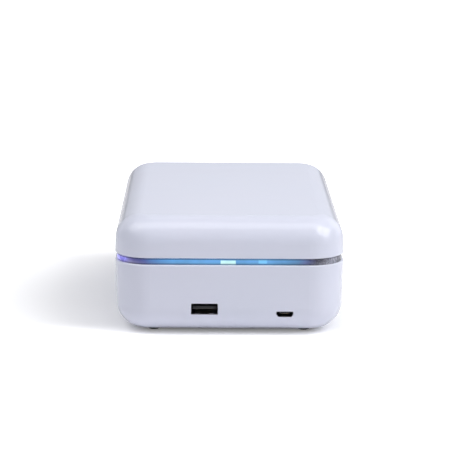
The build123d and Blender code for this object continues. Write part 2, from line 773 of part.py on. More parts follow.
# ---------------------------------------------------------------- assembly
def write(name, shape):
    solids = shape if isinstance(shape, list) else [shape]
    bodies = [solid for item in solids for solid in item.solids()]
    export_step(Compound(children=bodies, label=name), f"parts/{name}.step")


def main():
    os.makedirs("parts", exist_ok=True)
    spans = knuckle_spans()

    write("base_shell", make_base_shell())
    write("light_band", make_light_band())
    write("base_liner", make_base_liner())
    write("base_window", make_window(tub_floor_z, -1))
    write("base_uv_bar", make_uv_bar(tub_floor_z, -1))
    write("base_uv_leds", make_uv_leds(tub_floor_z, -1))
    write("base_bar_screws", make_bar_screws(tub_floor_z, -1))
    write("left_support_rail", make_rail(-1))
    write("right_support_rail", make_rail(1))
    write("power_board", make_power_board())
    write("board_screws", make_board_screws())
    write("usb_a_shell", make_usb_a_shell())
    write("usb_a_insert", make_usb_a_insert())
    write("micro_usb_shell", make_micro_shell())
    write("micro_usb_insert", make_micro_insert())
    write("control_chip", on_board(*control_chip_place, control_chip_size))
    write("boost_coil", make_boost_coil())
    write("wire_sockets", make_wire_sockets())
    write("glow_board", make_glow_board())
    write("glow_leds", make_glow_leds())
    write("button_board", make_button_board())
    write("switch_body", make_switch_body())
    write("hall_sensor", make_hall_sensor())
    write("base_magnets", make_magnets(flange_top_z - flange - magnet_size[2]))
    write("hinge_base_leaf", make_leaf(-1, spans[0::2], spans[1::2]))
    write("hinge_base_screws", make_leaf_screws(-1))
    write("hinge_pin", rod_along_y(hinge_x, -hinge_length / 2, hinge_length / 2, seam_mid_z,
                                   hinge_pin_radius))
    write("case_screws", make_case_screws())
    foot_names = ("foot_front_port", "foot_rear_port", "foot_front_far", "foot_rear_far")
    for name, (x, y) in zip(foot_names, foot_places):
        write(name, make_foot(x, y))

    write("lid_shell", make_lid_shell())
    write("lid_liner", make_lid_liner())
    write("lid_window", make_window(lid_ceiling_z, 1))
    write("lid_uv_bar", make_uv_bar(lid_ceiling_z, 1))
    write("lid_uv_leds", make_uv_leds(lid_ceiling_z, 1))
    write("lid_bar_screws", make_bar_screws(lid_ceiling_z, 1))
    write("lid_seal", make_seal())
    write("lid_magnets", make_magnets(lid_seat_z + lid_plate))
    write("lid_sensor_magnet", make_sensor_magnet())
    write("hinge_lid_leaf", make_leaf(1, spans[1::2], spans[0::2]))
    write("hinge_lid_screws", make_leaf_screws(1))
    write("lid_screws", make_lid_screws())

    write("start_button", make_button())
    write("switch_stem", make_switch_stem())


main()
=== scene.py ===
import bpy
import bmesh
import json
from math import pi, radians, sin
from mathutils import Euler, Matrix, Vector


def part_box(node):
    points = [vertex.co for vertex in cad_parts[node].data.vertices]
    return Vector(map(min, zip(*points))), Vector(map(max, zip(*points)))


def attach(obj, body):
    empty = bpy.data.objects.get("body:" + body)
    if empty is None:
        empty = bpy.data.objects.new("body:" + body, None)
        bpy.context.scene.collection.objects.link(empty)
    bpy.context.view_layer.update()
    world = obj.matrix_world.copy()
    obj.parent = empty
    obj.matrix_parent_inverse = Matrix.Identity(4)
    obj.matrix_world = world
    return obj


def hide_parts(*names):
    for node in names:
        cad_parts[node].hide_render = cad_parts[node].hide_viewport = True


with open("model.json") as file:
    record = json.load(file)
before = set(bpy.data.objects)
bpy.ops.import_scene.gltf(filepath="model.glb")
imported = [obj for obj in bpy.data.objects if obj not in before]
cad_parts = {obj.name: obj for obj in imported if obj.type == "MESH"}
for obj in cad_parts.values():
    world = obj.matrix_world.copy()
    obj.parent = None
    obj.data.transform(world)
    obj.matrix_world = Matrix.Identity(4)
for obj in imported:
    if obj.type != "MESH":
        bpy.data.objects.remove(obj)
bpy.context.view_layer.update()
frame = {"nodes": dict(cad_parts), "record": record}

nodes = frame["nodes"]
mm = 0.001
weldGap = 0.001 * mm        # points nearer than this are one point


# small helpers for nodes
def linear(red, green, blue):
    # 0-255 screen values to the linear values that sockets take
    def one(c):
        c = c / 255
        return c / 12.92 if c <= 0.04045 else ((c + 0.055) / 1.055) ** 2.4
    return (one(red), one(green), one(blue), 1)


def link(tree, source, target):
    tree.links.new(source, target)


def maths(tree, operation, first, second=None, clamp=False):
    node = tree.nodes.new("ShaderNodeMath")
    node.operation = operation
    node.use_clamp = clamp
    for socket, value in zip(node.inputs, (first, second)):
        if value is None:
            continue
        if isinstance(value, (int, float)):
            socket.default_value = value
        else:
            link(tree, value, socket)
    return node.outputs[0]


def ramp(tree, value, low, high, outLow=0.0, outHigh=1.0):
    # smooth step from outLow to outHigh as value goes from low to high
    node = tree.nodes.new("ShaderNodeMapRange")
    node.interpolation_type = "SMOOTHSTEP"
    node.inputs["From Min"].default_value = low
    node.inputs["From Max"].default_value = high
    node.inputs["To Min"].default_value = outLow
    node.inputs["To Max"].default_value = outHigh
    link(tree, value, node.inputs["Value"])
    return node.outputs["Result"]


def mixColour(tree, factor, first, second):
    node = tree.nodes.new("ShaderNodeMix")
    node.data_type = "RGBA"
    for place, value in ((0, factor), (6, first), (7, second)):
        socket = node.inputs[place]
        if isinstance(value, (int, float, tuple)):
            socket.default_value = value
        else:
            link(tree, value, socket)
    return node.outputs[2]


def objectPosition(tree):
    return tree.nodes.new("ShaderNodeTexCoord").outputs["Object"]


def noise(tree, scale, detail=2.0, roughness=0.5, vector=None):
    node = tree.nodes.new("ShaderNodeTexNoise")
    node.inputs["Scale"].default_value = scale
    node.inputs["Detail"].default_value = detail
    node.inputs["Roughness"].default_value = roughness
    link(tree, vector or objectPosition(tree), node.inputs["Vector"])
    return node.outputs["Fac"]


def newGroup(name, inputs, outputs):
    group = bpy.data.node_groups.new(name, "ShaderNodeTree")
    for label, value in inputs:
        socket = group.interface.new_socket(label, in_out="INPUT", socket_type="NodeSocketFloat")
        socket.default_value = value
    for label in outputs:
        group.interface.new_socket(label, in_out="OUTPUT", socket_type="NodeSocketFloat")
    return group, group.nodes.new("NodeGroupInput"), group.nodes.new("NodeGroupOutput")


# moulded surface: slow swell of the tool, fine texture, flow mottling
def makeMouldSkin():
    values = [("Swell", 60.0), ("Grain", 2500.0), ("Grain Share", 0.2)]
    group, given, out = newGroup("mouldSkin", values, ["Height", "Mottle"])
    position = objectPosition(group)
    swell = group.nodes.new("ShaderNodeTexNoise")
    swell.inputs["Detail"].default_value = 1.0
    link(group, position, swell.inputs["Vector"])
    link(group, given.outputs["Swell"], swell.inputs["Scale"])
    grain = group.nodes.new("ShaderNodeTexNoise")
    grain.inputs["Detail"].default_value = 2.0
    link(group, position, grain.inputs["Vector"])
    link(group, given.outputs["Grain"], grain.inputs["Scale"])
    fine = maths(group, "MULTIPLY", grain.outputs["Fac"], given.outputs["Grain Share"])
    link(group, maths(group, "ADD", swell.outputs["Fac"], fine), out.inputs["Height"])
    link(group, ramp(group, noise(group, 18.0, 4.0), 0.35, 0.65), out.inputs["Mottle"])
    return group


# edges: where the rounded normal leaves the real one; worn bright edges on metal, a painted
# highlight along the housing's edges
def makeEdgeWearAndSheen():
    group, given, out = newGroup("edgeWearAndSheen", [("Width", 0.0006), ("Breakup", 400.0)], ["Mask"])
    bevel = group.nodes.new("ShaderNodeBevel")
    bevel.samples = 4
    link(group, given.outputs["Width"], bevel.inputs["Radius"])
    plain = group.nodes.new("ShaderNodeNewGeometry")
    dot = group.nodes.new("ShaderNodeVectorMath")
    dot.operation = "DOT_PRODUCT"
    link(group, bevel.outputs["Normal"], dot.inputs[0])
    link(group, plain.outputs["Normal"], dot.inputs[1])
    bent = ramp(group, dot.outputs["Value"], 0.995, 0.9)
    patchy = group.nodes.new("ShaderNodeTexNoise")
    link(group, objectPosition(group), patchy.inputs["Vector"])
    link(group, given.outputs["Breakup"], patchy.inputs["Scale"])
    worn = ramp(group, patchy.outputs["Fac"], 0.35, 0.6)
    link(group, maths(group, "MULTIPLY", bent, worn), out.inputs["Mask"])
    return group


# dust: lies on what faces up, in soft patches with specks
def makeDustFilm():
    group, given, out = newGroup("dustFilm", [("Amount", 0.3), ("Specks", 1.0)], ["Mask"])
    plain = group.nodes.new("ShaderNodeNewGeometry")
    split = group.nodes.new("ShaderNodeSeparateXYZ")
    link(group, plain.outputs["Normal"], split.inputs[0])
    facing = ramp(group, split.outputs["Z"], 0.3, 0.95)
    patches = ramp(group, noise(group, 35.0, 5.0, 0.6), 0.4, 0.75)
    specks = ramp(group, noise(group, 1800.0, 1.0), 0.68, 0.78)
    specks = maths(group, "MULTIPLY", specks, given.outputs["Specks"])
    both = maths(group, "ADD", maths(group, "MULTIPLY", patches, 0.6), specks, clamp=True)
    both = maths(group, "MULTIPLY", both, facing)
    link(group, maths(group, "MULTIPLY", both, given.outputs["Amount"]), out.inputs["Mask"])
    return group


mouldSkin, edgeWearAndSheen, dustFilm = makeMouldSkin(), makeEdgeWearAndSheen(), makeDustFilm()


def useGroup(tree, group, values):
    node = tree.nodes.new("ShaderNodeGroup")
    node.node_tree = group
    for label, value in values.items():
        node.inputs[label].default_value = value
    return node


def startMaterial(name):
    material = bpy.data.materials.new(name)
    material.use_nodes = True
    tree = material.node_tree
    return material, tree, tree.nodes["Principled BSDF"]


def bump(tree, height, distance, strength):
    node = tree.nodes.new("ShaderNodeBump")
    node.inputs["Distance"].default_value = distance
    node.inputs["Strength"].default_value = strength
    link(tree, height, node.inputs["Height"])
    return node.outputs["Normal"]


print("helpers and groups ready")

# the finishes
housing = {
    "colour": (226, 228, 243),
    "flow": (223, 226, 241),
    # painted highlight: lighter along the edges
    "paintedEdgeHighlight": (233, 234, 245),
    "dust": (214, 214, 220),
    "roughness": 0.2,
    "roughSpread": 0.05,
    "roughDust": 0.1,
    "coat": 0.78,
    "coatRoughness": 0.04,
    "shine": 0.1,
    "swellDepth": 0.03 * mm,
    "skin": {"Swell": 45.0, "Grain": 3000.0, "Grain Share": 0.03},
    "rub": {"Width": 0.5 * mm, "Breakup": 260.0},
    "film": {"Amount": 0.04, "Specks": 0.3},
}


def makePlastic(name, look):
    material, tree, shader = startMaterial(name)
    skin = useGroup(tree, mouldSkin, look["skin"])
    rub = useGroup(tree, edgeWearAndSheen, look["rub"])
    dust = useGroup(tree, dustFilm, look["film"])
    flow = mixColour(tree, skin.outputs["Mottle"], linear(*look["colour"]), linear(*look["flow"]))
    # painted highlight along the edges
    edged = mixColour(tree, rub.outputs["Mask"], flow, linear(*look["paintedEdgeHighlight"]))
    dusty = mixColour(tree, dust.outputs["Mask"], edged, linear(*look["dust"]))
    link(tree, dusty, shader.inputs["Base Color"])
    rough = maths(tree, "MULTIPLY", skin.outputs["Mottle"], look["roughSpread"])
    rough = maths(tree, "ADD", rough, look["roughness"])
    dull = maths(tree, "MULTIPLY", dust.outputs["Mask"], look["roughDust"])
    link(tree, maths(tree, "ADD", rough, dull, clamp=True), shader.inputs["Roughness"])
    shader.inputs["Coat Weight"].default_value = look["coat"]
    shader.inputs["Coat Roughness"].default_value = look["coatRoughness"]
    shader.inputs["Specular IOR Level"].default_value = look["shine"]
    link(tree, bump(tree, skin.outputs["Height"], look["swellDepth"], strength=0.5),
         shader.inputs["Normal"])
    return material


housingPlastic = makePlastic("housingPlastic", housing)


# clear band: painted glow, an emission for the blue light from the strip behind the near end,
# violet in the left corner, unlit past the last light on the right. Each stop is x in mm, then
# the colour in the upper and lower half
band = {
    "low": 35.25 * mm,
    "high": 38.0 * mm,
    "span": 55.0,
    "glow": [
        (-54.0, (116, 112, 226), (128, 122, 232)),
        (-51.0, (132, 127, 232), (112, 104, 212)),
        (-49.6, (134, 130, 220), (138, 132, 206)),
        (-48.2, (112, 108, 176), (136, 134, 178)),
        (-46.0, (78, 76, 140), (116, 114, 158)),
        (-43.0, (68, 74, 138), (96, 98, 148)),
        (-40.5, (70, 86, 154), (84, 92, 148)),
        (-38.0, (70, 114, 178), (82, 108, 162)),
        (-33.0, (78, 142, 206), (84, 132, 184)),
        (-27.0, (88, 162, 226), (92, 152, 204)),
        (-14.0, (98, 168, 232), (94, 160, 214)),
        (20.0, (96, 166, 226), (92, 156, 210)),
        (28.7, (86, 148, 202), (84, 138, 184)),
        (32.5, (80, 132, 180), (82, 120, 160)),
        (36.0, (84, 106, 158), (86, 98, 142)),
        (39.0, (66, 70, 112), (74, 76, 106)),
        (41.5, (20, 20, 30), (20, 20, 28)),
        (45.0, (0, 0, 0), (0, 0, 0)),
    ],
    # painted shade and reflection on the unlit near end past the lights: darker and lighter
    # stretches along x and between the halves
    "plain": [
        (38.0, (16, 24, 44), (16, 24, 44)),
        (41.0, (74, 74, 96), (104, 106, 126)),
        (43.5, (84, 84, 98), (124, 126, 140)),
        (46.0, (126, 126, 140), (154, 154, 168)),
        (48.0, (154, 156, 170), (168, 170, 184)),
        (50.3, (188, 190, 204), (160, 162, 176)),
        (52.3, (142, 144, 158), (110, 112, 124)),
        (54.0, (106, 107, 118), (94, 95, 106)),
    ],
    # painted hot spots where the lights behind show through the band, the first with a darker dip
    # at its top middle
    "spots": [
        {"from": -4.3, "to": 2.9, "soft": 0.25, "colour": (206, 255, 255), "dip": 0.16,
         "foot": 0.3, "head": 0.55},
        {"from": 13.8, "to": 17.8, "soft": 0.5, "colour": (120, 200, 250), "dip": 0.0,
         "foot": 0.8, "head": 0.1},
    ],
    "spotEdge": 0.12 * mm,
    "dipWide": (2.4 * mm, 0.2 * mm),
    "dipHigh": (1.5 * mm, 0.5 * mm),        # below the upper edge
    "wander": 0.6 * mm,         # how far noise moves the colours sideways
    "shift": 0.3 * mm,          # half of that, taken off again
    "blend": (0.6 * mm, 0.7 * mm),          # lower and upper end of the step between the halves
    "rimShade": 0.4,
    "rimHead": (0.24 * mm, 0.54 * mm),      # shaded from the upper edge down
    "rimFoot": (0.2 * mm, 1.05 * mm),       # and from the lower edge up
    "fadeFrom": -38 * mm,       # along the long sides, the light is gone here
    "fadeTo": -80 * mm,
    "corner": (-49.0 * mm, -50.6 * mm),
    "glowFleck": (172, 168, 255),
    "glowStreaks": (0.9, 1.06),
    "clear": (186, 188, 198),
    "cloud": (172, 174, 185),
    "specks": (0.55, 1.0),
    "roughness": 0.14,
    "waves": 0.04 * mm,
}


def colourRamp(tree, value, stops):
    # colours along a value that runs from 0 to 1
    node = tree.nodes.new("ShaderNodeValToRGB")
    elements = node.color_ramp.elements
    elements.remove(elements[1])
    elements[0].position = stops[0][0]
    elements[0].color = linear(*stops[0][1])
    for place, colour in stops[1:]:
        elements.new(place).color = linear(*colour)
    link(tree, value, node.inputs["Fac"])
    return node.outputs["Color"]


def between(tree, value, low, high, soft):
    rise = ramp(tree, value, low - soft, low + soft)
    fall = ramp(tree, value, high + soft, high - soft)
    return maths(tree, "MULTIPLY", rise, fall)


def makeBand():
    material, tree, shader = startMaterial("bandAcrylicPaintedGlow")
    split = tree.nodes.new("ShaderNodeSeparateXYZ")
    link(tree, objectPosition(tree), split.inputs[0])
    x, y, z = split.outputs
    low, high, span = band["low"], band["high"], band["span"]
    # 0 at the left corner and 1 at the right one, broken up a little by noise
    wander = maths(tree, "MULTIPLY", noise(tree, 500.0, 2.0), band["wander"])
    across = maths(tree, "ADD", maths(tree, "ADD", x, wander), span * mm - band["shift"])
    across = maths(tree, "DIVIDE", across, 2 * span * mm, clamp=True)
    upper = ramp(tree, z, low + band["blend"][0], high - band["blend"][1])

    def stops(rows, half):
        return [((place + span) / (2 * span), colours[half]) for place, *colours in rows]

    glow = mixColour(tree, upper, colourRamp(tree, across, stops(band["glow"], 1)),
                     colourRamp(tree, across, stops(band["glow"], 0)))
    # unlit colours of the near end, with painted shade and reflection
    plain = mixColour(tree, upper, colourRamp(tree, across, stops(band["plain"], 1)),
                      colourRamp(tree, across, stops(band["plain"], 0)))
    # painted hot spots of light laid over the painted glow
    for glowSpot in band["spots"]:
        middle = (glowSpot["from"] + glowSpot["to"]) / 2 * mm
        sideways = maths(tree, "ABSOLUTE", maths(tree, "SUBTRACT", x, middle))
        notch = ramp(tree, sideways, *band["dipWide"], 0.0, glowSpot["dip"])
        inside = ramp(tree, z, high - band["dipHigh"][0], high - band["dipHigh"][1])
        notch = maths(tree, "MULTIPLY", notch, inside)
        lit = between(tree, x, glowSpot["from"] * mm, glowSpot["to"] * mm, glowSpot["soft"] * mm)
        lit = maths(tree, "MULTIPLY", lit, maths(tree, "SUBTRACT", 1.0, notch))
        tall = between(tree, z, low + glowSpot["foot"] * mm, high - glowSpot["head"] * mm,
                       band["spotEdge"])
        lit = maths(tree, "MULTIPLY", lit, tall)
        glow = mixColour(tree, lit, glow, linear(*glowSpot["colour"]))
    # painted glow: violet flecks of light in the bend at the left corner
    corner = ramp(tree, x, *band["corner"])
    glowFleck = maths(tree, "MULTIPLY", corner, ramp(tree, noise(tree, 620.0, 1.0), 0.5, 0.66))
    glow = mixColour(tree, glowFleck, glow, linear(*band["glowFleck"]))
    # light fades along the long sides
    fade = ramp(tree, y, band["fadeTo"], band["fadeFrom"], 1.0, 0.0)
    glow = mixColour(tree, fade, (0, 0, 0, 1), glow)
    # painted glow, uneven in soft streaks
    glowStreak = ramp(tree, noise(tree, 160.0, 2.0), 0.3, 0.7, *band["glowStreaks"])
    # the rims shade the upper and lower edge
    head, foot, rimShade = band["rimHead"], band["rimFoot"], band["rimShade"]
    shade = maths(tree, "MULTIPLY",
                  ramp(tree, z, high - head[0], high - head[1], rimShade, 1.0),
                  ramp(tree, z, low + foot[0], low + foot[1], rimShade, 1.0))
    shade = maths(tree, "MULTIPLY", shade, glowStreak)
    # the painted glow goes into the emission
    link(tree, mixColour(tree, shade, (0, 0, 0, 1), glow), shader.inputs["Emission Color"])
    shader.inputs["Emission Strength"].default_value = 1.0
    # unlit plastic is cloudy, with bright specks
    cloudy = ramp(tree, noise(tree, 300.0, 3.0), 0.35, 0.65)
    clear = mixColour(tree, cloudy, linear(*band["cloud"]), linear(*band["clear"]))
    grain = ramp(tree, noise(tree, 1100.0, 2.0), 0.35, 0.65, *band["specks"])
    plain = mixColour(tree, grain, (0, 0, 0, 1), plain)
    link(tree, mixColour(tree, fade, clear, plain), shader.inputs["Base Color"])
    shader.inputs["Roughness"].default_value = band["roughness"]
    link(tree, bump(tree, noise(tree, 240.0, 2.0), band["waves"], strength=0.4),
         shader.inputs["Normal"])
    return material


bandAcrylicPaintedGlow = makeBand()

matt = {
    "dust": (150, 150, 152),
    "roughSpread": 0.1,
    "skin": {"Swell": 90.0, "Grain": 2200.0, "Grain Share": 0.8},
    "film": {"Amount": 0.25},
}


def makeSoft(name, colour, second, roughness, grainDepth=0.02 * mm):
    material, tree, shader = startMaterial(name)
    skin = useGroup(tree, mouldSkin, matt["skin"])
    dust = useGroup(tree, dustFilm, matt["film"])
    base = mixColour(tree, skin.outputs["Mottle"], linear(*colour), linear(*second))
    link(tree, mixColour(tree, dust.outputs["Mask"], base, linear(*matt["dust"])),
         shader.inputs["Base Color"])
    spread = maths(tree, "MULTIPLY", skin.outputs["Mottle"], matt["roughSpread"])
    link(tree, maths(tree, "ADD", spread, roughness), shader.inputs["Roughness"])
    link(tree, bump(tree, skin.outputs["Height"], grainDepth, strength=0.8),
         shader.inputs["Normal"])
    return material


metal = {
    "bright": (226, 226, 230),      # where the edges are rubbed
    "roughSpread": 0.16,
    "lineDepth": 0.01 * mm,
    "rub": {"Width": 0.3 * mm, "Breakup": 700.0},
}


def makeMetal(name, colour, second, roughness, direction, lines=900.0):
    # brushed along one axis: noise stretched by a mapping
    material, tree, shader = startMaterial(name)
    mapping = tree.nodes.new("ShaderNodeMapping")
    link(tree, objectPosition(tree), mapping.inputs["Vector"])
    mapping.inputs["Scale"].default_value = direction
    brushed = noise(tree, lines, 3.0, 0.6, mapping.outputs["Vector"])
    rub = useGroup(tree, edgeWearAndSheen, metal["rub"])
    base = mixColour(tree, brushed, linear(*colour), linear(*second))
    link(tree, mixColour(tree, rub.outputs["Mask"], base, linear(*metal["bright"])),
         shader.inputs["Base Color"])
    shader.inputs["Metallic"].default_value = 1.0
    spread = maths(tree, "MULTIPLY", brushed, metal["roughSpread"])
    link(tree, maths(tree, "ADD", spread, roughness), shader.inputs["Roughness"])
    link(tree, bump(tree, brushed, metal["lineDepth"], strength=0.5), shader.inputs["Normal"])
    return material


lining = {
    "colour": (208, 211, 218),
    "hazy": (192, 196, 206),
    "dust": (170, 170, 172),
    "metallic": 0.92,
    "roughness": 0.16,
    "roughHaze": 0.1,
    "roughDust": 0.04,
    "swellDepth": 0.25 * mm,
    "skin": {"Swell": 30.0, "Grain": 1500.0, "Grain Share": 0.02},
    "film": {"Amount": 0.2},
}


def makeLining():
    # vacuum-metallised plastic: bright, with the waviness of the moulding under it
    material, tree, shader = startMaterial("mirrorLining")
    skin = useGroup(tree, mouldSkin, lining["skin"])
    dust = useGroup(tree, dustFilm, lining["film"])
    haze = ramp(tree, noise(tree, 14.0, 4.0), 0.3, 0.75)
    base = mixColour(tree, haze, linear(*lining["colour"]), linear(*lining["hazy"]))
    link(tree, mixColour(tree, dust.outputs["Mask"], base, linear(*lining["dust"])),
         shader.inputs["Base Color"])
    shader.inputs["Metallic"].default_value = lining["metallic"]
    rough = maths(tree, "MULTIPLY", haze, lining["roughHaze"])
    rough = maths(tree, "ADD", rough, lining["roughness"])
    dull = maths(tree, "MULTIPLY", dust.outputs["Mask"], lining["roughDust"])
    link(tree, maths(tree, "ADD", rough, dull), shader.inputs["Roughness"])
    link(tree, bump(tree, skin.outputs["Height"], lining["swellDepth"], strength=0.5),
         shader.inputs["Normal"])
    return material


glass = {"colour": (240, 244, 250), "bend": 1.46, "roughness": 0.02, "smudge": 0.05}


def makeWindow():
    material, tree, shader = startMaterial("windowGlass")
    smudge = ramp(tree, noise(tree, 26.0, 4.0), 0.45, 0.75)
    shader.inputs["Base Color"].default_value = linear(*glass["colour"])
    shader.inputs["Transmission Weight"].default_value = 1.0
    shader.inputs["IOR"].default_value = glass["bend"]
    smudged = maths(tree, "MULTIPLY", smudge, glass["smudge"])
    link(tree, maths(tree, "ADD", smudged, glass["roughness"]), shader.inputs["Roughness"])
    return material


def makeBoard(name, mask, trace, pad, scale, rise):
    # solder mask over copper: traces as slightly lighter lines in a grid, on patchy copper
    material, tree, shader = startMaterial(name)
    grid = tree.nodes.new("ShaderNodeTexBrick")
    grid.inputs["Scale"].default_value = scale
    grid.inputs["Mortar Size"].default_value = 0.03
    link(tree, objectPosition(tree), grid.inputs["Vector"])
    patches = ramp(tree, noise(tree, 40.0, 3.0), 0.4, 0.6)
    shade = mixColour(tree, patches, linear(*mask), linear(*pad))
    link(tree, mixColour(tree, grid.outputs["Fac"], shade, linear(*trace)),
         shader.inputs["Base Color"])
    link(tree, ramp(tree, noise(tree, 60.0), 0.3, 0.7, 0.28, 0.4), shader.inputs["Roughness"])
    link(tree, bump(tree, grid.outputs["Fac"], rise, strength=0.6), shader.inputs["Normal"])
    return material


finishes = {
    "housing_plastic": housingPlastic,
    "band_acrylic": bandAcrylicPaintedGlow,
    "mirror_lining": makeLining(),
    "window_glass": makeWindow(),
    "bar_board": makeBoard("barBoard", (206, 208, 206), (196, 198, 196), (212, 213, 210),
                           scale=14.0, rise=0.01 * mm),
    "circuit_board": makeBoard("circuitBoard", (22, 74, 44), (40, 104, 66), (18, 62, 38),
                               scale=90.0, rise=0.03 * mm),
    "led_body": makeSoft("ledBody", (238, 234, 214), (228, 222, 196), 0.32),
    "screw_steel": makeMetal("screwSteel", (168, 168, 172), (130, 131, 136), 0.3, (1, 1, 6)),
    "hinge_steel": makeMetal("hingeSteel", (186, 186, 190), (156, 157, 162), 0.3, (1, 0.05, 1)),
    "socket_steel": makeMetal("socketSteel", (190, 190, 194), (160, 160, 165), 0.3, (1, 0.1, 1)),
    "magnet_nickel": makeMetal("magnetNickel", (200, 198, 190), (182, 180, 174), 0.12,
                               (1, 1, 1), lines=300.0),
    "dark_moulding": makeSoft("darkMoulding", (20, 20, 22), (27, 27, 30), 0.42),
    "pale_moulding": makeSoft("paleMoulding", (226, 222, 208), (214, 209, 192), 0.45),
    "foot_rubber": makeSoft("footRubber", (20, 20, 22), (30, 30, 33), 0.7,
                            grainDepth=0.04 * mm),
    "soft_silicone": makeSoft("softSilicone", (196, 199, 206), (184, 187, 196), 0.5),
}
contactGold = makeMetal("contactGold", (216, 182, 112), (198, 162, 92), 0.3, (1, 0.2, 1))

# every carried-over node gets the finish of its slot
slotOf = {part["node"]: part["material_slot"] for part in frame["record"]["subparts"]}
bodyNodes = frame["record"]["behaviour"]["bodies"]
for node, slot in slotOf.items():
    nodes[node].data.materials.clear()
    nodes[node].data.materials.append(finishes[slot])
print("finishes on", len(nodes), "nodes")


# modelling helpers: a new piece starts as a primitive and is shaped in edit mode
axial = 0.9         # a normal or an edge past this share lies along an axis
slack = 0.02        # mm between a face or edge and the place where it is looked for


def only(piece):
    bpy.ops.object.select_all(action="DESELECT")
    piece.select_set(True)
    bpy.context.view_layer.objects.active = piece


def settle(name):
    # the place goes into the mesh
    piece = bpy.context.object
    piece.name = piece.data.name = name
    only(piece)
    bpy.ops.object.transform_apply(location=True, rotation=True, scale=True)
    return piece


def addBlock(name, low, high):
    # a box between two corners in mm
    bpy.ops.object.select_all(action="DESELECT")
    middle = [(a + b) / 2 * mm for a, b in zip(low, high)]
    bpy.ops.mesh.primitive_cube_add(size=1, location=middle,
                                    scale=[(b - a) * mm for a, b in zip(low, high)])
    return settle(name)


def addRod(name, middle, radius, length, turn=(0, 0, 0), sides=32):
    # a rod that stands up unless it is turned
    bpy.ops.object.select_all(action="DESELECT")
    bpy.ops.mesh.primitive_cylinder_add(vertices=sides, radius=radius * mm, depth=length * mm,
                                        location=[v * mm for v in middle], rotation=turn)
    return settle(name)


def openEdit(piece):
    only(piece)
    bpy.ops.object.mode_set(mode="EDIT")
    bpy.ops.mesh.select_mode(type="FACE")
    bpy.ops.mesh.select_all(action="DESELECT")


def closeEdit():
    bpy.ops.object.mode_set(mode="OBJECT")


def pickFaces(piece, test):
    # test gets each face's middle in mm and its normal
    bpy.ops.mesh.select_mode(type="FACE")
    bpy.ops.mesh.select_all(action="DESELECT")
    mesh = bmesh.from_edit_mesh(piece.data)
    mesh.normal_update()
    for face in mesh.faces:
        face.select_set(bool(test(face.calc_center_median() / mm, face.normal)))
    bmesh.update_edit_mesh(piece.data)


def pickEdges(piece, test):
    # test gets each edge's middle in mm and its direction
    bpy.ops.mesh.select_mode(type="EDGE")
    bpy.ops.mesh.select_all(action="DESELECT")
    mesh = bmesh.from_edit_mesh(piece.data)
    for edge in mesh.edges:
        start, end = (corner.co / mm for corner in edge.verts)
        edge.select_set(bool(test((start + end) / 2, (end - start).normalized())))
    bmesh.update_edit_mesh(piece.data)


def facesUp(middle, way):
    return way.z > axial


def facesDown(middle, way):
    return way.z < -axial


def pull(x, y, z):
    # extrude what is selected by a distance in mm
    bpy.ops.mesh.extrude_region_move(TRANSFORM_OT_translate={"value": (x * mm, y * mm, z * mm)})


def widen(share, middle, flat="Z"):
    # scale what is selected across one axis, about a point in mm
    size = [1 if axis == flat else share for axis in "XYZ"]
    bpy.ops.transform.resize(value=size, center_override=[v * mm for v in middle])


def softenEdges(piece, width, segments=2, angle=30):
    only(piece)
    bevel = piece.modifiers.new("soften", "BEVEL")
    bevel.width = width * mm
    bevel.segments = segments
    bevel.limit_method = "ANGLE"
    bevel.angle_limit = radians(angle)
    bpy.ops.object.modifier_apply(modifier=bevel.name)


def cutWith(piece, cutter):
    only(piece)
    cut = piece.modifiers.new("cut", "BOOLEAN")
    cut.operation = "DIFFERENCE"
    cut.solver = "EXACT"
    cut.object = cutter
    bpy.ops.object.modifier_apply(modifier=cut.name)
    bpy.data.objects.remove(cutter)


def joinPieces(name, pieces):
    only(pieces[0])
    for piece in pieces[1:]:
        piece.select_set(True)
    bpy.ops.object.join()
    pieces[0].name = pieces[0].data.name = name
    return pieces[0]


def copyTo(name, model, places, upsideDown=False):
    # copies with meshes of their own at places in mm, joined into one piece
    copies = []
    for place in places:
        only(model)
        bpy.ops.object.duplicate(linked=False)
        if upsideDown:
            bpy.ops.transform.rotate(value=pi, orient_axis="X", center_override=(0, 0, 0))
        bpy.ops.transform.translate(value=[v * mm for v in place])
        copies.append(settle(name))
    return joinPieces(name, copies)


def dress(piece, body, slot, stands=(), smooth=35):
    only(piece)
    bpy.ops.object.shade_smooth_by_angle(angle=radians(smooth))
    piece.data.materials.clear()
    piece.data.materials.append(finishes[slot])
    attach(piece, body)
    if stands:
        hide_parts(*stands)


# ultraviolet lights: a ceramic package with a stepped cup, a chip in it and a lens over it
uvLight = {
    "places": (-45.0, -27.0, -9.0, 9.0, 27.0, 45.0),
    "seats": (("base", 15.6, False), ("lid", 51.8, True)),      # body, height, upside down
    "high": 0.9,
    "side": 3.5,
    "bodyHigh": 0.56,
    "cornerRound": 0.3,
    "rim": 0.42,
    "step": 0.12,
    "stepWide": 0.14,
    "cupDeep": 0.26,
    "cupTaper": 0.86,
    "edge": 0.03,
    "chipSide": 1.1,
    "chipHigh": 0.16,
    "chipRim": 0.12,
    "chipRise": 0.03,
    "lensRadius": 1.16,
    "lensFoot": 0.3,
    "lensCut": 0.05,        # the ball is cut just above its middle
    "lensSides": 24,
    "lensRings": 12,
    "padWide": 2.6,
    "padGap": 0.05,
    "padOut": 0.85,
    "padThick": 0.05,
    "solderHigh": 0.14,
    "solderTaper": 0.7,
}


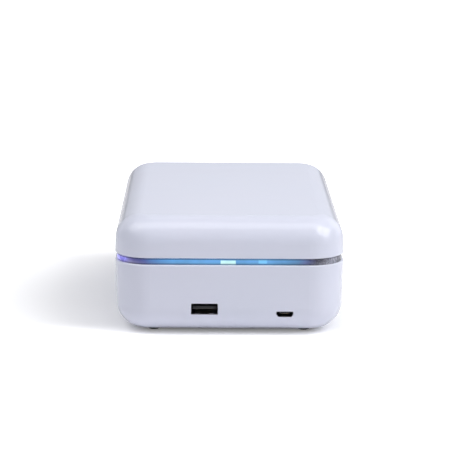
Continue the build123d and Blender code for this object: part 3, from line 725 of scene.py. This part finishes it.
def makeLightPackage():
    half, high = uvLight["side"] / 2, uvLight["bodyHigh"]
    package = addBlock("package", (-half, -half, 0), (half, half, high))
    openEdit(package)
    pickFaces(package, facesUp)
    bpy.ops.mesh.inset(thickness=uvLight["rim"] * mm)
    pull(0, 0, -uvLight["step"])
    bpy.ops.mesh.inset(thickness=uvLight["stepWide"] * mm)
    pull(0, 0, -uvLight["cupDeep"])
    widen(uvLight["cupTaper"], (0, 0, 0))
    pickEdges(package, lambda middle, way: abs(way.z) > axial and abs(middle.x) > half - slack)
    bpy.ops.mesh.bevel(offset=uvLight["cornerRound"] * mm, segments=3)
    closeEdit()
    softenEdges(package, uvLight["edge"])
    return package


def makeLightChip():
    half = uvLight["chipSide"] / 2
    floor = uvLight["bodyHigh"] - uvLight["step"] - uvLight["cupDeep"]
    chip = addBlock("chip", (-half, -half, floor), (half, half, floor + uvLight["chipHigh"]))
    openEdit(chip)
    pickFaces(chip, facesUp)
    bpy.ops.mesh.inset(thickness=uvLight["chipRim"] * mm)
    pull(0, 0, uvLight["chipRise"])
    closeEdit()
    return chip


def makeLightLens():
    radius, foot = uvLight["lensRadius"], uvLight["lensFoot"]
    bpy.ops.object.select_all(action="DESELECT")
    bpy.ops.mesh.primitive_uv_sphere_add(segments=uvLight["lensSides"],
                                         ring_count=uvLight["lensRings"], radius=radius * mm)
    lens = settle("lens")
    openEdit(lens)
    bpy.ops.mesh.select_all(action="SELECT")
    bpy.ops.mesh.bisect(plane_co=(0, 0, uvLight["lensCut"] * mm), plane_no=(0, 0, 1),
                        clear_inner=True, use_fill=True, threshold=weldGap)
    bpy.ops.mesh.select_all(action="SELECT")
    tall = uvLight["high"] - foot
    bpy.ops.transform.resize(value=(1, 1, tall / radius), center_override=(0, 0, 0))
    bpy.ops.transform.translate(value=(0, 0, foot * mm))
    closeEdit()
    return lens


def makeLightPads():
    # a wide pad at each side of a light, with solder drawn up on it
    pads = []
    near = uvLight["side"] / 2 + uvLight["padGap"]
    far = uvLight["side"] / 2 + uvLight["padOut"]
    half = uvLight["padWide"] / 2
    for side in (-1, 1):
        x = sorted((side * near, side * far))
        pad = addBlock("pad", (x[0], -half, 0), (x[1], half, uvLight["padThick"]))
        openEdit(pad)
        pickFaces(pad, facesUp)
        bpy.ops.mesh.inset(thickness=uvLight["chipRim"] * mm)
        pull(0, 0, uvLight["solderHigh"])
        widen(uvLight["solderTaper"], ((x[0] + x[1]) / 2, 0, 0))
        closeEdit()
        pads.append(pad)
    return joinPieces("pads", pads)


def makeLights():
    package, chip, lens = makeLightPackage(), makeLightChip(), makeLightLens()
    pad = makeLightPads()
    for body, height, over in uvLight["seats"]:
        spots = [(0, y, height) for y in uvLight["places"]]
        dress(copyTo(body + "UvPackages", package, spots, over), body, "led_body",
              [body + "_uv_leds"])
        dress(copyTo(body + "UvChips", chip, spots, over), body, "dark_moulding")
        dress(copyTo(body + "UvLenses", lens, spots, over), body, "window_glass", smooth=60)
        pads = copyTo(body + "UvPads", pad, spots, over)
        dress(pads, body, "magnet_nickel")
        pads.data.materials[0] = contactGold
    for model in (package, chip, lens, pad):
        bpy.data.objects.remove(model)


makeLights()
print("ultraviolet lights ready")

# screws: a head with a cross recess on a waisted shank, modelled head up at the origin
crossScrew = {
    "head": 2.2,
    "shank": 1.2,
    "rimHigh": 0.12,
    "coneHigh": 1.1,
    "long": 5.5,
    "tip": 0.6,
    "taper": 0.72,      # of the tip and of the recess
    "edge": 0.06,
    "slotLong": 2.5,
    "slotWide": 0.6,
    "slotDeep": 0.85,
    "slotOver": 0.2,        # the cutter stands this far out of the head
    "lidRoof": 48.8,
    "lidPlaces": (38.0, 72.0),
}


def makeCrossScrew():
    head, shank = crossScrew["head"], crossScrew["shank"]
    screw = addRod("screw", (0, 0, -crossScrew["rimHigh"] / 2), head, crossScrew["rimHigh"])
    openEdit(screw)
    pickFaces(screw, facesDown)
    cone = crossScrew["coneHigh"] - crossScrew["rimHigh"]
    pull(0, 0, -cone)
    widen(shank / head, (0, 0, 0))
    pull(0, 0, crossScrew["coneHigh"] - crossScrew["long"] + crossScrew["tip"])
    pull(0, 0, -crossScrew["tip"])
    widen(crossScrew["taper"], (0, 0, 0))
    closeEdit()
    for wide, long in ((crossScrew["slotWide"], crossScrew["slotLong"]),
                       (crossScrew["slotLong"], crossScrew["slotWide"])):
        cutter = addBlock("cutter", (-wide / 2, -long / 2, -crossScrew["slotDeep"]),
                          (wide / 2, long / 2, crossScrew["slotOver"]))
        openEdit(cutter)
        pickFaces(cutter, facesDown)
        widen(crossScrew["taper"], (0, 0, 0))
        closeEdit()
        cutWith(screw, cutter)
    softenEdges(screw, crossScrew["edge"], angle=50)
    return screw


def makeLidScrews():
    screw = makeCrossScrew()
    x, y = crossScrew["lidPlaces"]
    spots = [(sx * x, sy * y, crossScrew["lidRoof"]) for sy in (-1, 1) for sx in (-1, 1)]
    dress(copyTo("lidScrews", screw, spots, True), "lid", "screw_steel", ["lid_screws"])
    bpy.data.objects.remove(screw)


makeLidScrews()
print("screws ready")

# feet: a soft pad with a rounded belly and a ring-shaped hollow in its flat
rubberFoot = {
    "radius": 5.0,
    "top": 2.5,
    "shoulder": 1.5,
    "belly": 3.6,
    "bellyZ": 0.7,
    "flat": 2.4,
    "sides": 40,
    "edge": 0.09,
    "rings": ((0.5, 0.0), (0.2, 0.35), (0.6, 0.0), (0.25, -0.2)),   # width and rise of each
    "places": {"foot_front_port": (-36.5, -72.5), "foot_rear_port": (36.5, -72.5),
               "foot_front_far": (-36.5, 72.5), "foot_rear_far": (36.5, 72.5)},
}


def makeFoot():
    look = rubberFoot
    high = look["top"] - look["shoulder"]
    foot = addRod("foot", (0, 0, look["shoulder"] + high / 2), look["radius"], high,
                  sides=look["sides"])
    openEdit(foot)
    pickFaces(foot, facesDown)
    pull(0, 0, look["bellyZ"] - look["shoulder"])
    widen(look["belly"] / look["radius"], (0, 0, 0))
    pull(0, 0, -look["bellyZ"])
    widen(look["flat"] / look["belly"], (0, 0, 0))
    for width, rise in look["rings"]:
        bpy.ops.mesh.inset(thickness=width * mm)
        bpy.ops.transform.translate(value=(0, 0, rise * mm))
    closeEdit()
    softenEdges(foot, look["edge"], angle=25)
    return foot


def makeFeet():
    foot = makeFoot()
    for node, (x, y) in rubberFoot["places"].items():
        name = "rubber" + "".join(word.capitalize() for word in node.split("_"))
        dress(copyTo(name, foot, [(x, y, 0)]), "base", "foot_rubber", [node])
    bpy.data.objects.remove(foot)


makeFeet()
print("feet ready")

# sockets: a folded steel shell with springs, and contacts on both tongues
wideSocket = {
    "name": "wideSocket",
    "stands": "usb_a_shell",
    "x": -11.95,
    "z": 13.6,
    "wide": 13.4,
    "high": 6.1,
    "front": -89.05,
    "back": -75.05,
    "sheet": 0.3,
    "round": 0.6,
    "edge": 0.07,
    "springs": [(-3.3, 1), (3.3, 1), (-3.3, -1), (3.3, -1)],        # place across, and wall
    "springWide": 2.0,
    "springThick": 0.16,
    "springFrom": -87.9,
    "springTo": -81.0,
    "springRise": 0.45,
    "springSteps": 8,
    "contacts": (-3.5, -1.0, 1.0, 3.5),
    "contactWide": 1.0,
    "contactFrom": -87.6,
    "contactTo": -78.0,
    "contactZ": 13.27,
}
smallSocket = {
    "name": "smallSocket",
    "x": 26.65,
    "contacts": (-1.3, -0.65, 0.0, 0.65, 1.3),
    "contactWide": 0.36,
    "contactFrom": -88.0,
    "contactTo": -84.5,
    "contactZ": 11.3,
}
contactStrip = {"stand": 0.1, "sink": 0.04, "rim": 0.15, "crown": 0.05}     # rim is a share


def makeSpring(socket, x, side):
    # a tab pressed in from the shell's wall: flat at both ends and bowed in the middle
    inner = socket["z"] + side * (socket["high"] / 2 - socket["sheet"])
    low, high = sorted((inner, inner - side * socket["springThick"]))
    spring = addBlock("spring", (x - socket["springWide"] / 2, socket["springFrom"], low),
                      (x + socket["springWide"] / 2, socket["springTo"], high))
    steps = socket["springSteps"]
    openEdit(spring)
    pickEdges(spring, lambda middle, way: abs(way.y) > axial)
    bpy.ops.mesh.subdivide(number_cuts=steps - 1)
    span = socket["springTo"] - socket["springFrom"]
    for step in range(1, steps):
        y = socket["springFrom"] + span * step / steps
        pickEdges(spring, lambda middle, way: abs(way.y) < axial and abs(middle.y - y) < slack)
        bow = socket["springRise"] * sin(pi * step / steps) ** 2
        bpy.ops.transform.translate(value=(0, 0, -side * bow * mm))
    closeEdit()
    return spring


def makeShell(socket):
    x, z = socket["x"], socket["z"]
    wide, high = socket["wide"] / 2, socket["high"] / 2
    shell = addBlock(socket["name"], (x - wide, socket["front"], z - high),
                     (x + wide, socket["back"], z + high))
    openEdit(shell)
    pickEdges(shell, lambda middle, way: abs(way.y) > axial)
    bpy.ops.mesh.bevel(offset=socket["round"] * mm, segments=4)
    pickFaces(shell, lambda middle, way: way.y < -axial)
    bpy.ops.mesh.delete(type="FACE")
    closeEdit()
    only(shell)
    wall = shell.modifiers.new("wall", "SOLIDIFY")
    wall.thickness = socket["sheet"] * mm
    wall.offset = -1
    bpy.ops.object.modifier_apply(modifier=wall.name)
    softenEdges(shell, socket["edge"], angle=60)
    springs = [makeSpring(socket, x + place, side) for place, side in socket["springs"]]
    return joinPieces(socket["name"], [shell] + springs)


def makeContacts(socket):
    strips = []
    half, top = socket["contactWide"] / 2, socket["contactZ"] + contactStrip["sink"]
    low = socket["contactZ"] - contactStrip["stand"]
    for place in socket["contacts"]:
        x = socket["x"] + place
        strip = addBlock("contact", (x - half, socket["contactFrom"], low),
                         (x + half, socket["contactTo"], top))
        openEdit(strip)
        pickFaces(strip, facesDown)
        bpy.ops.mesh.inset(thickness=socket["contactWide"] * contactStrip["rim"] * mm)
        bpy.ops.transform.translate(value=(0, 0, -contactStrip["crown"] * mm))
        closeEdit()
        strips.append(strip)
    return joinPieces(socket["name"] + "Contacts", strips)


dress(makeShell(wideSocket), "base", "socket_steel", [wideSocket["stands"]])
for socket in (wideSocket, smallSocket):
    contacts = makeContacts(socket)
    dress(contacts, "base", "magnet_nickel")
    contacts.data.materials[0] = contactGold
print("sockets ready")

# hinge: a pin with domed ends, and leaves and boards with their sharp edges taken off
hingePin = {
    "x": 53.75,
    "z": 36.875,
    "radius": 0.66,
    "half": 46.0,
    "dome": 0.34,
    "steps": ((0.5, 0.87), (0.3, 0.73), (0.2, 0.5)),        # rise and narrowing, as shares
}


def makePin():
    pin = addRod("hingeRod", (hingePin["x"], 0, hingePin["z"]), hingePin["radius"],
                 2 * (hingePin["half"] - hingePin["dome"]), turn=(radians(90), 0, 0))
    openEdit(pin)
    for side in (-1, 1):
        pickFaces(pin, lambda middle, way: way.y * side > axial)
        middle = (hingePin["x"], 0, hingePin["z"])
        for rise, share in hingePin["steps"]:
            pull(0, side * rise * hingePin["dome"], 0)
            widen(share, middle, "Y")
    closeEdit()
    dress(pin, "base", "hinge_steel", ["hinge_pin"], smooth=50)


makePin()

# each node, with the new piece's name and how far its edges are rounded in mm
rounded = {
    "base_window": ("baseWindow", 0.25),
    "lid_window": ("lidWindow", 0.25),
    "hinge_base_leaf": ("baseHingeLeaf", 0.1),
    "hinge_lid_leaf": ("lidHingeLeaf", 0.1),
    "lid_seal": ("lidSeal", 0.3),
    "base_uv_bar": ("baseUvBar", 0.12),
    "lid_uv_bar": ("lidUvBar", 0.12),
    "power_board": ("powerBoard", 0.1),
    "control_chip": ("controlChip", 0.12),
    "micro_usb_shell": ("smallSocket", 0.06),
    "usb_a_insert": ("wideSocketInsert", 0.12),
    "micro_usb_insert": ("smallSocketInsert", 0.08),
    "switch_body": ("switchBody", 0.12),
    "boost_coil": ("boostCoil", 0.1),
    "wire_sockets": ("wireSockets", 0.12),
}


def roundedCopy(node, name, width):
    # the node's triangles are joined up and its flat faces made whole, then its edges rounded
    piece = bpy.data.objects.new(name, nodes[node].data.copy())
    piece.data.name = name
    bpy.context.scene.collection.objects.link(piece)
    openEdit(piece)
    bpy.ops.mesh.select_all(action="SELECT")
    bpy.ops.mesh.remove_doubles(threshold=weldGap)
    bpy.ops.mesh.dissolve_limited(angle_limit=radians(0.5))
    closeEdit()
    softenEdges(piece, width, angle=40)
    return piece


for node, (name, width) in rounded.items():
    body = next(body for body, held in bodyNodes.items() if node in held)
    dress(roundedCopy(node, name, width), body, slotOf[node], [node])
print("hinge and boards ready")

# start button: its face is dished for a fingertip, in rings that are smoothed over
startButton = {
    "edge": 0.15,
    "flat": 0.99,       # a normal past this share is the face, not its rounded edge
    "rim": 0.55,
    "rings": ((0.25, 0.1), (0.4, 0.16), (0.5, 0.12), (0.6, 0.07)),      # width and depth
}


def makeButton():
    button = roundedCopy("start_button", "startButton", startButton["edge"])
    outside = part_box("start_button")[0].x / mm
    openEdit(button)
    pickFaces(button, lambda middle, way: way.x < -startButton["flat"]
              and middle.x < outside + slack)
    bpy.ops.mesh.inset(thickness=startButton["rim"] * mm)
    for width, deep in startButton["rings"]:
        bpy.ops.mesh.inset(thickness=width * mm)
        bpy.ops.transform.translate(value=(deep * mm, 0, 0))
    closeEdit()
    dress(button, "button", slotOf["start_button"], ["start_button"], smooth=50)


makeButton()
print("button ready")

# floor, light and camera
studio = {
    "floorSize": 12.0,
    "floorDrop": 0.1 * mm,
    "floorNear": (250, 250, 251),
    "floorFar": (242, 242, 245),
    # painted light on the floor: an emission that lifts it to white away from the box and
    # lightens the box's shadow, seen by the camera and in part by glossy rays
    "nearLift": 0.03,       # how far the floor is lifted to white close to the box
    "farFrom": 0.05,        # metres from the box's middle where the lift starts to rise
    "farTo": 0.26,
    # painted light over the shadow past the right wall and in front of the near wall
    "rightPaintedLight": 0.33,      # more lift past the right wall, over this stretch of x
    "rightRun": (0.045, 0.075),
    "frontPaintedLight": 0.34,      # and in front of the near wall, over this stretch of y
    "frontRun": (-0.064, -0.09),
    "mirrorLift": 0.15,     # share of that lift which glossy surfaces see
    "fill": 0.1,
    "skyTint": (240, 243, 255),
    "mirrorSky": (0.6, 0.85),       # left and right of the surround, as glossy surfaces see it
    "mirrorTurn": (-0.25, 0.05),
    "target": (0, 0, 0.04),
}
softBoxes = [
    {"name": "keyBox", "towards": (0.68, -0.36, 0.62), "distance": 1.1,
     "wide": 0.74, "deep": 0.74, "turn": 45, "power": 6.95},
    {"name": "leftBox", "towards": (-0.62, -0.15, 0.77), "distance": 1.2,
     "wide": 0.8, "deep": 0.8, "turn": 0, "power": 4.2},
    {"name": "topStrip", "towards": (0, -0.259, 0.966), "distance": 1.2,
     "wide": 1.7, "deep": 0.7, "turn": 0, "power": 6.4},
    {"name": "backLeftBox", "towards": (-0.75, 0.6, 0.4), "distance": 1.2,
     "wide": 0.8, "deep": 0.8, "turn": 0, "power": 0.5},
    {"name": "backRightBox", "towards": (0.75, 0.6, 0.4), "distance": 1.2,
     "wide": 0.8, "deep": 0.8, "turn": 0, "power": 1.2},
]


def raysSeen(tree):
    # the first value is 1 on camera and see-through rays, the second on mirror rays
    rays = tree.nodes.new("ShaderNodeLightPath")
    straight, through = rays.outputs["Is Camera Ray"], rays.outputs["Is Transmission Ray"]
    return maths(tree, "MAXIMUM", straight, through), rays.outputs["Is Glossy Ray"]


def makeFloor():
    bpy.ops.object.select_all(action="DESELECT")
    bpy.ops.mesh.primitive_plane_add(size=studio["floorSize"],
                                     location=(0, 0, -studio["floorDrop"]))
    floor = bpy.context.object
    floor.name = "floor"
    material, tree, shader = startMaterial("floorPaint")
    shader.inputs["Roughness"].default_value = 0.9
    shader.inputs["Specular IOR Level"].default_value = 0.1
    position = objectPosition(tree)
    length = tree.nodes.new("ShaderNodeVectorMath")
    length.operation = "LENGTH"
    link(tree, position, length.inputs[0])
    away = ramp(tree, length.outputs["Value"], studio["farFrom"], studio["farTo"])
    paint = mixColour(tree, away, linear(*studio["floorNear"]), linear(*studio["floorFar"]))
    link(tree, paint, shader.inputs["Base Color"])
    direct, mirrored = raysSeen(tree)
    seen = maths(tree, "MAXIMUM", direct, maths(tree, "MULTIPLY", mirrored, studio["mirrorLift"]))
    # painted light: the lift rises away from the box and is strongest past the right wall and in
    # front of the near wall
    rise = maths(tree, "MULTIPLY", away, 1 - studio["nearLift"])
    rise = maths(tree, "ADD", rise, studio["nearLift"])
    split = tree.nodes.new("ShaderNodeSeparateXYZ")
    link(tree, position, split.inputs[0])
    beside = ramp(tree, split.outputs["X"], *studio["rightRun"], 0.0, studio["rightPaintedLight"])
    before = ramp(tree, split.outputs["Y"], *studio["frontRun"], 0.0, studio["frontPaintedLight"])
    rise = maths(tree, "ADD", maths(tree, "MAXIMUM", beside, before), rise, clamp=True)
    paintedLight = tree.nodes.new("ShaderNodeEmission")
    link(tree, maths(tree, "MULTIPLY", seen, rise), paintedLight.inputs["Strength"])
    both = tree.nodes.new("ShaderNodeAddShader")
    link(tree, shader.outputs["BSDF"], both.inputs[0])
    link(tree, paintedLight.outputs["Emission"], both.inputs[1])
    link(tree, both.outputs["Shader"], tree.nodes["Material Output"].inputs["Surface"])
    floor.data.materials.append(material)


def makeWorld():
    world = bpy.data.worlds.new("studioWorld")
    world.use_nodes = True
    tree = world.node_tree
    sky = tree.nodes["Background"]
    direct, mirrored = raysSeen(tree)
    split = tree.nodes.new("ShaderNodeSeparateXYZ")
    link(tree, tree.nodes.new("ShaderNodeTexCoord").outputs["Generated"], split.inputs[0])
    surround = ramp(tree, split.outputs["X"], *studio["mirrorTurn"], *studio["mirrorSky"])
    strength = tree.nodes.new("ShaderNodeMix")
    link(tree, mirrored, strength.inputs[0])
    strength.inputs[2].default_value = studio["fill"]
    link(tree, surround, strength.inputs[3])
    white = tree.nodes.new("ShaderNodeMix")
    link(tree, direct, white.inputs[0])
    link(tree, strength.outputs[0], white.inputs[2])
    white.inputs[3].default_value = 1.0
    link(tree, white.outputs[0], sky.inputs["Strength"])
    tint = mixColour(tree, direct, linear(*studio["skyTint"]), (1, 1, 1, 1))
    link(tree, tint, sky.inputs["Color"])
    bpy.context.scene.world = world


def makeSoftBox(box):
    # a flat soft box, turned about its own axis
    data = bpy.data.lights.new(box["name"], "AREA")
    data.shape = "RECTANGLE"
    data.size = box["wide"]
    data.size_y = box["deep"]
    data.energy = box["power"]
    lamp = bpy.data.objects.new(box["name"], data)
    bpy.context.scene.collection.objects.link(lamp)
    away = Vector(box["towards"]).normalized()
    facing = (-away).to_track_quat("-Z", "Y").to_matrix()
    lamp.rotation_euler = (facing @ Matrix.Rotation(radians(box["turn"]), 3, "Z")).to_euler()
    lamp.location = Vector(studio["target"]) + away * box["distance"]


makeFloor()
makeWorld()
for box in softBoxes:
    makeSoftBox(box)

shot = {
    "place": (-11.3 * mm, -1076.0 * mm, 243.75 * mm),
    "pitch": 10.88,
    "yaw": -0.547,
    "roll": 0.405,
    "focal": 168.13,
    "sensor": 36.0,
    "near": 0.05,
}
camera = bpy.data.objects.new("camera", bpy.data.cameras.new("camera"))
bpy.context.scene.collection.objects.link(camera)
camera.data.lens = shot["focal"]
camera.data.sensor_width = shot["sensor"]
camera.data.clip_start = shot["near"]
facing = Euler((radians(90 - shot["pitch"]), 0, radians(shot["yaw"]))).to_matrix()
camera.rotation_euler = (facing @ Matrix.Rotation(radians(shot["roll"]), 3, "Z")).to_euler()
camera.location = shot["place"]
bpy.context.scene.camera = camera
bpy.context.scene.view_settings.view_transform = "Standard"
print("studio ready")
